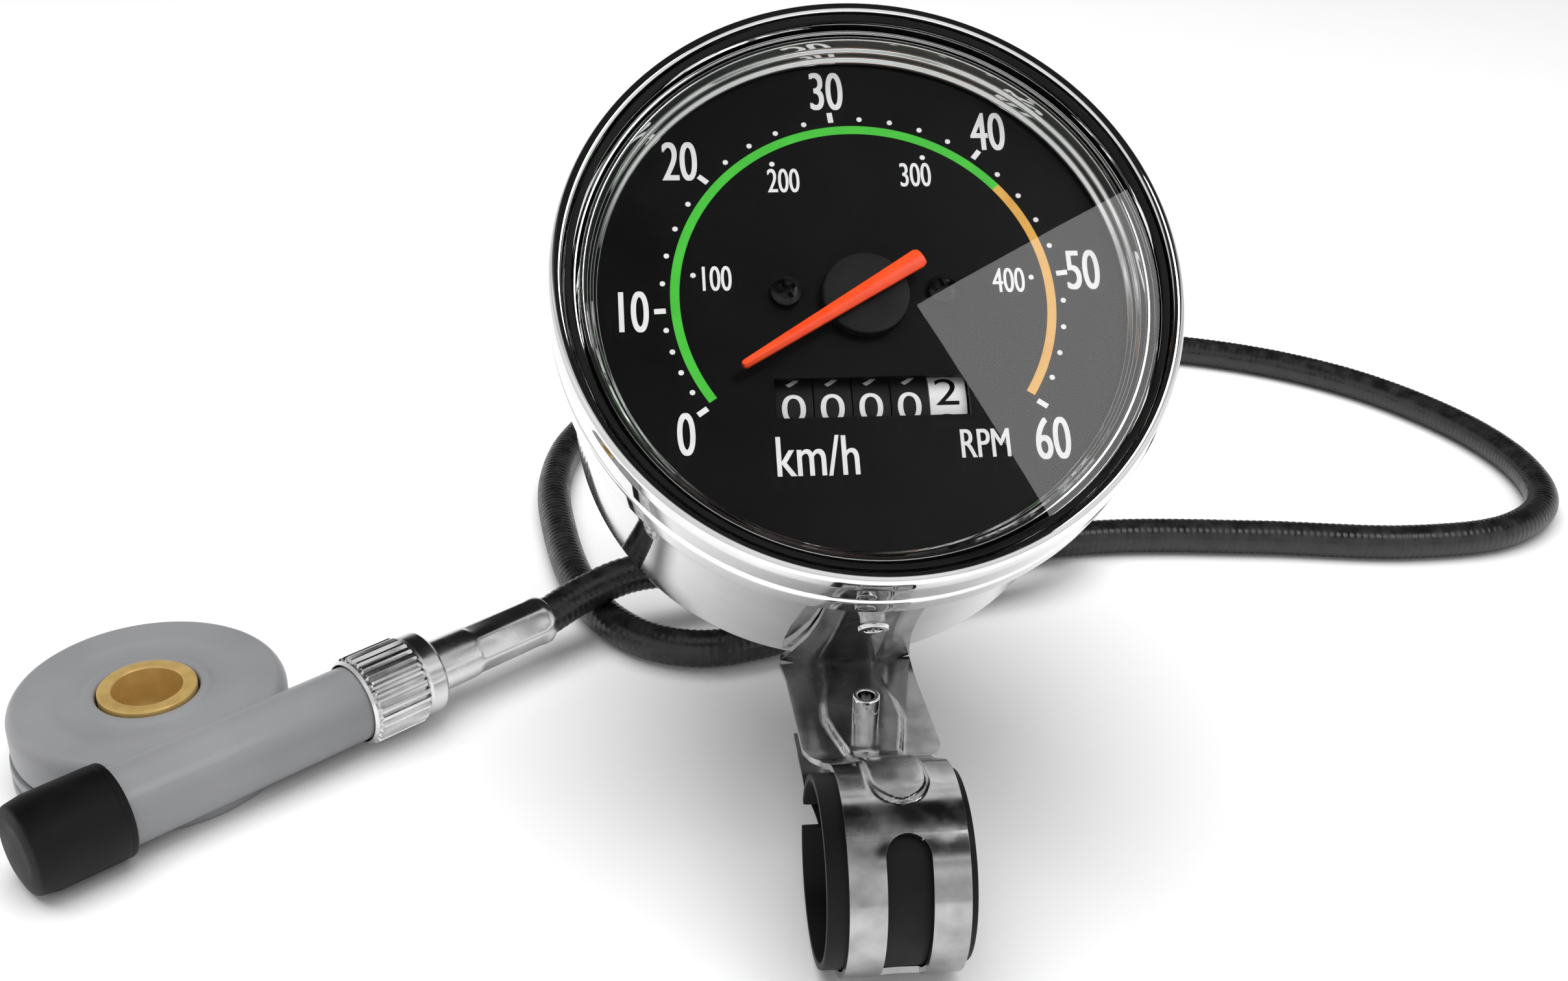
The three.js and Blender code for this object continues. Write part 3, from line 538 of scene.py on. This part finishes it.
# ------------------------------------------------------------ odometer
def wrapped_digit(digit, centre_x, turn):
    """A digit laid round a drum: its height becomes an angle about the drum's axle."""
    verts, faces = text_shape(digit, DIGIT_HEIGHT, 1.25)
    mesh = bmesh.new()
    corners = [mesh.verts.new(v) for v in verts]
    for face in faces:
        mesh.faces.new([corners[i] for i in face])
    for k in range(-4, 5):
        everything = mesh.verts[:] + mesh.edges[:] + mesh.faces[:]
        bmesh.ops.bisect_plane(mesh, geom=everything, plane_co=(0, 0.5 * k, 0), plane_no=(0, 1, 0))
    mesh.verts.index_update()
    radius = DRUM_R + 0.02
    points = []
    for vert in mesh.verts:
        angle = vert.co.y / DRUM_R + turn
        points.append((centre_x + vert.co.x, ODO_Y + radius * math.sin(angle),
                       ODO_Z + radius * math.cos(angle)))
    sides = [tuple(v.index for v in face.verts) for face in mesh.faces]
    mesh.free()
    return points, sides


def add_drums():
    """Five drums with their digits; the last is white and stands at 2, the others at 0."""
    along = Matrix.Translation((0, ODO_Y, ODO_Z)) @ Matrix.Rotation(math.pi / 2, 4, "Y")
    for index in range(5):
        left = DRUM_LEFT + index * DRUM_PITCH
        last = index == 4
        slot = "white_plastic" if last else "black_plastic"
        right = left + DRUM_WIDTH + 0.2
        profile = rounded([(1.3, left), (DRUM_R, left), (DRUM_R, right), (1.3, right)], 0.06)
        body = f"drum_{index + 1}"
        add(f"drum_{index + 1}_rim", *lathe(profile, 96), HEAD @ along, body, slot,
            replaces=[f"odometer_drum_{index + 1}"])
        shown = 2 if last else 0
        offset = 0.13 if last else -0.12
        digits = [
            wrapped_digit(str((shown - k) % 10), left + DRUM_WIDTH / 2, offset + k * math.pi / 5)
            for k in range(10)
        ]
        ink = FINISHES["dial" if last else "white_print"]
        add(f"drum_{index + 1}_digits", *both(*digits), HEAD, body, slot, ink)


# ------------------------------------------------------------ cable and its fittings
def smooth_route(points, spacing):
    """Centripetal Catmull-Rom curve through the points, sampled at even steps of length."""
    ends = [2 * points[0] - points[1], *points, 2 * points[-1] - points[-2]]
    dense = []
    for i in range(1, len(ends) - 2):
        p0, p1, p2, p3 = ends[i - 1 : i + 3]
        t1 = (p1 - p0).length ** 0.5
        t2 = t1 + (p2 - p1).length ** 0.5
        t3 = t2 + (p3 - p2).length ** 0.5
        for k in range(40):
            t = t1 + (t2 - t1) * k / 40
            a1 = p0 * (t1 - t) / t1 + p1 * t / t1
            a2 = p1 * (t2 - t) / (t2 - t1) + p2 * (t - t1) / (t2 - t1)
            a3 = p2 * (t3 - t) / (t3 - t2) + p3 * (t - t2) / (t3 - t2)
            b1 = a1 * (t2 - t) / t2 + a2 * t / t2
            b2 = a2 * (t3 - t) / (t3 - t1) + a3 * (t - t1) / (t3 - t1)
            dense.append(b1 * (t2 - t) / (t2 - t1) + b2 * (t - t1) / (t2 - t1))
    dense.append(points[-1])
    line = np.array([tuple(p) for p in dense])
    run = np.concatenate([[0], np.cumsum(np.linalg.norm(np.diff(line, axis=0), axis=1))])
    places = np.linspace(0, run[-1], round(run[-1] / spacing) + 1)
    return np.stack([np.interp(places, run, line[:, k]) for k in range(3)], 1), run[-1]


def tube_shape(line, radii, sides=20):
    """A tube along a line, with its own radius at each point."""
    rings = []
    normal = Vector((0, 0, 1))
    for i, point in enumerate(line):
        along = Vector(line[min(i + 1, len(line) - 1)] - line[max(i - 1, 0)]).normalized()
        normal = (normal - along * normal.dot(along)).normalized()
        side = along.cross(normal)
        ring = []
        for k in range(sides):
            angle = 2 * math.pi * k / sides
            out = normal * math.cos(angle) + side * math.sin(angle)
            ring.append(tuple(Vector(point) + out * radii[i]))
        rings.append(ring)
    return sections(rings)


CABLE_STEP = 0.4
RIB_DEPTHS = (0, 0.03, 0.12)


def add_cable():
    """The ribbed casing, and the path of its middle."""
    points = [Vector(p) for p in CABLE_ROUTE]
    line, length = smooth_route(points, CABLE_STEP)
    ribs = [CABLE_R - RIB_DEPTHS[i % len(RIB_DEPTHS)] for i in range(len(line))]
    cable = add("cable", *tube_shape(line, ribs), CLAMP, "root", "vinyl",
                replaces=["cable_casing"], sharp=80)
    path = [tuple(CLAMP @ Vector(p) * MM) for p in line[::4]] + [tuple(CLAMP @ points[-1] * MM)]
    print("cable length", round(length, 1))
    return cable, path


NUT_RIBS = 30


def ring_points(radii, z):
    """A ring of points at one height, going through the radii over and over."""
    count = 4 * NUT_RIBS
    angles = [2 * math.pi * k / count for k in range(count)]
    return [(radii[k % len(radii)] * math.cos(angle), radii[k % len(radii)] * math.sin(angle), z)
            for k, angle in enumerate(angles)]


def nut_shape(z0, length, mouth):
    """Knurled union nut: straight ribs between two plain collars, open at its mouth."""
    end = z0 + length
    outside = (
        (z0, 6.2, 6.2), (z0 + 0.4, 6.6, 6.6), (z0 + 0.9, 6.35, 6.35), (z0 + 1.1, 6.3, 6.85),
        (z0 + 1.4, 6.35, 6.9), (end - 4.0, 6.35, 6.9), (end - 3.6, 6.3, 6.6), (end - 3.4, 6.2, 6.2),
        (end - 3.0, 6.5, 6.5), (end - 0.6, 6.45, 6.45), (end, 5.9, 5.9),
    )
    inside = ((end, 4.4), (end - 2.2, 4.4), (end - 2.2, mouth), (z0, mouth))
    rings = [ring_points((low, high, high, low), z) for z, low, high in outside]
    rings += [ring_points((radius,), z) for z, radius in inside]
    verts, faces = sections(rings)
    count = len(rings[0])
    last = len(verts) - count
    lip = [(k, (k + 1) % count, last + (k + 1) % count, last + k) for k in range(count)]
    return verts, faces[:-2] + lip


def ferrule_shape(z0, end, collar):
    """Turned sleeve whose outer half is crimped into six soft flats."""
    rings = []
    sides = 72
    neck = z0 + (end - z0) * 0.5
    for z, radius, crimp in (
        (z0, collar - 0.3, 0), (z0 + 0.3, collar, 0), (z0 + 1.9, collar, 0), (z0 + 2.1, 4.1, 0),
        (neck - 0.6, 4.05, 0), (neck, 3.95, 0), (neck + 0.8, 3.85, 1), (end - 2.2, 3.8, 1),
        (end - 1.4, 3.9, 0), (end - 0.5, 3.9, 0), (end, 3.6, 0), (end, 3.15, 0),
    ):
        ring = []
        for k in range(sides):
            angle = 2 * math.pi * k / sides
            flat = math.cos(math.pi / 6) / math.cos((angle + math.pi / 6) % (math.pi / 3) - math.pi / 6)
            here = radius * (1 + crimp * (min(flat, 0.97) - 0.97))
            ring.append((here * math.cos(angle), here * math.sin(angle), z))
        rings.append(ring)
    return sections(rings)


def add_fittings():
    """The two union nuts and the two crimped sleeves, each on its own end of the cable."""
    metal = FINISHES["aluminium"]
    return [
        add("nut_at_head", *nut_shape(44, 13, 5.3), TURNED_HEAD, "head_nut", "chrome", metal,
            ["union_nut_head"]),
        add("nut_at_gearbox", *nut_shape(22.9, 13.2, 6.1), TUBE, "gearbox_nut", "chrome", metal,
            ["union_nut_gearbox"]),
        add("sleeve_at_head", *ferrule_shape(51.6, 68, 4.9), TURNED_HEAD, "root", "aluminium",
            replaces=["ferrule_head"]),
        add("sleeve_at_gearbox", *ferrule_shape(29.3, 58.6, 5.6), TUBE, "root", "aluminium",
            replaces=["ferrule_gearbox"]),
    ]


# ------------------------------------------------------------ hub gearbox
def add_gearbox():
    """Disc and tube in one, the back cover, the bush and the rubber cap."""
    disc = rounded([
        (7.3, 4.6), (19.3, 4.6), (19.5, 5.2), (19.5, 10.2), (18.6, 11.7), (13.5, 11.7), (12.0, 11.35),
        (9.4, 11.2), (8.6, 11.6), (7.3, 11.6),
    ], 0.8)
    tube = rounded([(3.5, -26), (5.8, -26), (5.8, 29), (3.5, 29)], 0.4)
    verts, faces = lathe(tube, 96)
    laid = [tuple(TUBE_IN_GEARBOX @ Vector(v)) for v in verts]
    add("housing", *both(lathe(disc, 160), (laid, faces)), GEARBOX, "root", "grey_plastic",
        replaces=["gearbox_housing"], sharp=50)
    cover = rounded([
        (15.6, 0), (19.5, 0), (19.9, 0.4), (19.9, 1.7), (19.3, 2.1), (19.3, 2.5), (19.9, 2.9),
        (19.8, 4.3), (15.6, 4.3),
    ], 0.25)
    add("cover", *lathe(cover, 160), GEARBOX, "root", "grey_plastic", replaces=["back_cover"])
    bush = rounded([(5, 0.6), (7, 0.6), (7, 12), (5, 12)], 0.35)
    add("bush", *lathe(bush, 96), GEARBOX, "root", "brass", replaces=["brass_bush"])
    cap = rounded([
        (0, -27.9), (4.6, -27.9), (6.4, -27.3), (6.9, -24.5), (6.9, -15.4), (6.75, -15.2), (6.9, -14.9),
        (6.8, -14.2), (6.1, -14.2), (6.1, -26.3), (0, -26.3),
    ], 0.5, closed=False)
    add("end_cap", *lathe(cap, 96, closed=False), TUBE, "cap_group", "rubber", replaces=["rubber_cap"])


# ------------------------------------------------------------ clamp
STRIP = 0.8
LOOP_R = 13.2
LOOP_Y = -40.5
STUD_Y = -17.0
RIB_END = 47.4
RIB_ROUND = 4.1
RIB_RISE = 0.6
SLOT_HALF = 2.8
SLOT_START = LOOP_Y - 7.0
STRIP_COLUMNS = 26


def strip_line():
    """Middle line of the bent strip in the YZ plane: plate, rise, loop and lower tab."""
    points = [Vector((1.3 - 26.8 * k / 12, 16.93 + 1.97 * k / 12)) for k in range(13)]
    points += [Vector((-28.6, 20.5)), Vector((-30.5, 21.8))]
    radius = LOOP_R - STRIP / 2
    for k in range(48):
        angle = math.radians(125 - 277 * k / 47)
        points.append(Vector((LOOP_Y - radius * math.cos(angle), LOOP_R + radius * math.sin(angle))))
    points += [Vector(p) for p in ((-27.8, 10.2), (-26, 12.3), (-23, 13.1), (-17, 13.25), (-11, 13.4))]
    return points


def strip_half_width(y, on_tab):
    """Half the strip's width where it passes a place in Y."""
    steps = [(-60, 7.4), (-26.3, 7.4), (-24.6, 8.6), (-22.9, 9.3), (-4, 9.3), (2, 9.6)]
    if on_tab:
        steps = [(-60, 7.4), (-28, 7.4), (-25, 9.0), (2, 9.0)]
    return float(np.interp(y, [s[0] for s in steps], [s[1] for s in steps]))


def rib_height(run, across):
    """Height of the pressed rib: widest round the stud, waisted, with a round lower end."""
    runs = [0, 8, 13, 17.4, 21, 26, 34]
    halves = [4.3, 4.4, 5.5, 5.8, 5.2, RIB_ROUND, RIB_ROUND]
    half = float(np.interp(run, runs, halves))
    past = run - (RIB_END - RIB_ROUND)
    if past >= RIB_ROUND:
        return 0.0
    if past > 0:
        half = math.sqrt(RIB_ROUND ** 2 - past ** 2)
    edge = min(1.0, max(0.0, (half - abs(across)) / 0.9))
    return RIB_RISE * edge * edge * (3 - 2 * edge)


def sheet_shape(rows):
    """A sheet of metal from rows of (outer point, inner point) pairs, closed but for any
    stretch of its edge that lies on the plane X = 0, where its other half joins it."""
    wide = len(rows[0])
    verts = [point for row in rows for pair in row for point in pair]
    faces = []

    def index(i, j, side):
        return (i * wide + j) * 2 + side

    for i in range(len(rows) - 1):
        for j in range(wide - 1):
            for side in (0, 1):
                quad = (index(i, j, side), index(i, j + 1, side), index(i + 1, j + 1, side),
                        index(i + 1, j, side))
                faces.append(quad if side else quad[::-1])
        for j in (0, wide - 1):
            on_middle = rows[i][j][0][0] == 0 and rows[i + 1][j][0][0] == 0
            if not on_middle:
                faces.append((index(i, j, 0), index(i, j, 1), index(i + 1, j, 1), index(i + 1, j, 0)))
    for i in (0, len(rows) - 1):
        for j in range(wide - 1):
            faces.append((index(i, j, 0), index(i, j + 1, 0), index(i, j + 1, 1), index(i, j, 1)))
    return verts, faces


def strip_rows():
    """Rows of places along the strip: run, YZ place, outward direction and run past the slot's start."""
    flat = [Vector((p.x, p.y, 0)) for p in strip_line()]
    step = 0.05
    line, length = smooth_route(flat, step)
    slot_start = next(i * step for i in range(len(line)) if line[i][0] < SLOT_START)
    runs = [0.4 * k for k in range(int(length / 0.4))]
    runs += [slot_start + SLOT_HALF * (1 - math.cos(math.pi * k / 24)) for k in range(13)]
    runs += [RIB_END - RIB_ROUND * (1 - math.sin(math.pi * k / 24)) for k in range(13)]
    rows = []
    for run in sorted(runs):
        i = min(round(run / step), len(line) - 2)
        along = Vector((line[i + 1] - line[max(i - 1, 0)])[:2]).normalized()
        rows.append((run, Vector(line[i][:2]), Vector((along.y, -along.x)), run - slot_start))
    return rows


def slot_half(past):
    """Half the slot's width at a run past its round start."""
    if past <= 0:
        return 0.0
    return SLOT_HALF if past > SLOT_HALF else math.sqrt(SLOT_HALF ** 2 - (SLOT_HALF - past) ** 2)


def strap_shape():
    """The strip from the fold to its lower tab, in two halves that meet at X = 0."""
    rows = strip_rows()
    lowest = min(range(len(rows)), key=lambda i: rows[i][1].x)
    halves = ([], [])
    for i, (run, place, out, past) in enumerate(rows):
        half = strip_half_width(place.x, i > lowest)
        gap = slot_half(past) if place.x < SLOT_START else 0.0
        for side, collected in zip((-1, 1), halves):
            row = []
            for k in range(STRIP_COLUMNS + 1):
                x = side * (gap + (half - gap) * k / STRIP_COLUMNS)
                rise = rib_height(run, x) if i < lowest else 0.0
                outer = place + out * (STRIP / 2 + rise)
                inner = place + out * (rise - STRIP / 2)
                row.append(((x, outer.x, outer.y), (x, inner.x, inner.y)))
            collected.append(row)
    return both(*(sheet_shape(rows) for rows in halves))


def flange_shape():
    """The strip's part that hugs the case wall, narrower towards the bezel."""
    rows = []
    for k in range(46):
        z = -41.2 + 35.4 * k / 45
        half = float(np.interp(z, [-41.2, -36, -26, -18, -8, -5.8], [9.6, 8.6, 7.2, 6.7, 6.6, 6.0]))
        row = []
        for j in range(25):
            angle = (half / 38.7) * (2 * j / 24 - 1)
            crease = 0.35 * math.exp(-((abs(2 * j / 24 - 1) - 0.55) / 0.16) ** 2)
            row.append(tuple((radius * math.sin(angle), -radius * math.cos(angle), z)
                             for radius in (39.1 + crease, 38.3 + crease)))
        rows.append(row)
    verts, faces = sheet_shape(rows)
    return [tuple(HEAD @ Vector(v)) for v in verts], faces


def add_clamp():
    verts, faces = strap_shape()
    strap = ([tuple(CLAMP @ Vector(v)) for v in verts], faces)
    strip = add("mount_strip", *both(strap, flange_shape()), Matrix.Identity(4), "root", "chrome",
                FINISHES["bracket_chrome"], ["bracket"], sharp=40)
    ease(strip, 0.15)
    liner = []
    for k in range(73):
        angle = math.radians(170 - 340 * k / 72)
        liner.append([
            (x, LOOP_Y - radius * math.cos(angle), LOOP_R + radius * math.sin(angle))
            for x, radius in ((-9.9, 11.2), (-9.6, 11.1), (8.1, 11.1), (8.4, 11.2), (8.4, 12.0),
                              (8.1, 12.1), (-9.6, 12.1), (-9.9, 12.0))
        ])
    add("bar_liner", *sections(liner), CLAMP, "root", "rubber", replaces=["clamp_liner"])
    stud = rounded([(1.15, 16.2), (2.8, 16.2), (2.8, 17.3), (1.85, 17.5), (1.85, 23.4), (1.15, 23.4)], 0.25)
    place = CLAMP @ Matrix.Translation((0, STUD_Y, 0))
    add("stud", *lathe(stud, 48), place, "root", "chrome", replaces=["clamp_insert"])
    rivet = rounded([
        (1.2, 36), (2.8, 36), (2.8, 36.8), (1.7, 36.9), (1.7, 39.9), (2.1, 40.2), (2.0, 40.8),
        (1.2, 40.8),
    ], 0.15)
    at_rivet = HEAD @ Matrix.Translation((0, 0, -14.5)) @ Matrix.Rotation(math.pi / 2, 4, "X")
    add("rivet", *lathe(rivet, 48), at_rivet, "root", "chrome", replaces=["case_rivet"])


# ------------------------------------------------------------ studio
def add_floor():
    size = 4.0
    corners = [(-size, -size, 0), (size, -size, 0), (size, size, 0), (-size, size, 0)]
    mesh = bpy.data.meshes.new("floor")
    mesh.from_pydata(corners, [], [(0, 1, 2, 3)])
    floor = bpy.data.objects.new("floor", mesh)
    bpy.context.scene.collection.objects.link(floor)
    mesh.materials.append(plain_finish("floor", grey(0.86), grey(0.88), (0.6, 0.7), 0, 3, 400, 0.02))


def add_light(name, place, target, size, watts, spin=0.0, in_reflections=True):
    data = bpy.data.lights.new(name, "AREA")
    data.shape = "RECTANGLE"
    data.size, data.size_y = size
    data.energy = watts
    light = bpy.data.objects.new(name, data)
    direction = Vector(target) - Vector(place)
    turn = direction.to_track_quat("-Z", "Y").to_matrix().to_4x4() @ Matrix.Rotation(spin, 4, "Z")
    light.matrix_world = Matrix.Translation(place) @ turn
    light.visible_glossy = in_reflections
    light.visible_transmission = in_reflections
    bpy.context.scene.collection.objects.link(light)


def add_world():
    """Pale surroundings with a dark ceiling and back, which the bright metal and lens show."""
    world = bpy.data.worlds.new("studio")
    bpy.context.scene.world = world
    world.use_nodes = True
    nodes = world.node_tree.nodes
    links = world.node_tree.links
    place = nodes.new("ShaderNodeTexCoord")
    towards = nodes.new("ShaderNodeVectorMath")
    towards.operation = "DOT_PRODUCT"
    towards.inputs[1].default_value = Vector((0.1, 0.35, 0.93)).normalized()
    shade = nodes.new("ShaderNodeValToRGB")
    links.new(place.outputs["Generated"], towards.inputs[0])
    links.new(towards.outputs["Value"], shade.inputs["Fac"])
    stops = [(0.0, 0.8), (0.2, 0.95), (0.36, 0.45), (0.42, 0.85), (0.5, 0.1), (0.62, 0.015)]
    while len(shade.color_ramp.elements) < len(stops):
        shade.color_ramp.elements.new(0.5)
    for element, (position, value) in zip(shade.color_ramp.elements, stops):
        element.position = position
        element.color = (value, value, value, 1.0)
    paths = nodes.new("ShaderNodeLightPath")
    seen = nodes.new("ShaderNodeMix")
    seen.data_type = "RGBA"
    seen.inputs["B"].default_value = (0.97, 0.97, 0.97, 1.0)
    links.new(paths.outputs["Is Camera Ray"], seen.inputs["Factor"])
    links.new(shade.outputs["Color"], seen.inputs["A"])
    links.new(seen.outputs["Result"], nodes["Background"].inputs["Color"])
    nodes["Background"].inputs["Strength"].default_value = 1.0
    bpy.context.scene.view_settings.view_transform = "Standard"


def main():
    add_camera()
    cable, path = add_cable()
    finish_cad_nodes()
    end_pieces = add_fittings()
    end_pieces += [frame["nodes"][name] for name in ("core_tip_head", "core_tip_gearbox")]
    add_case()
    add_hub_and_screws()
    add_needle()
    add_dial_print()
    add_drums()
    add_gearbox()
    add_clamp()
    add_floor()
    add_light("soft_box", (0.573, -0.372, 0.9), (0.573, -0.372, 0), (0.5, 0.5), 2.6, math.radians(33))
    add_light("ceiling", (-0.1, 0.1, 1.4), (0, 0, 0), (1.6, 1.6), 30, in_reflections=False)
    add_world()


main()
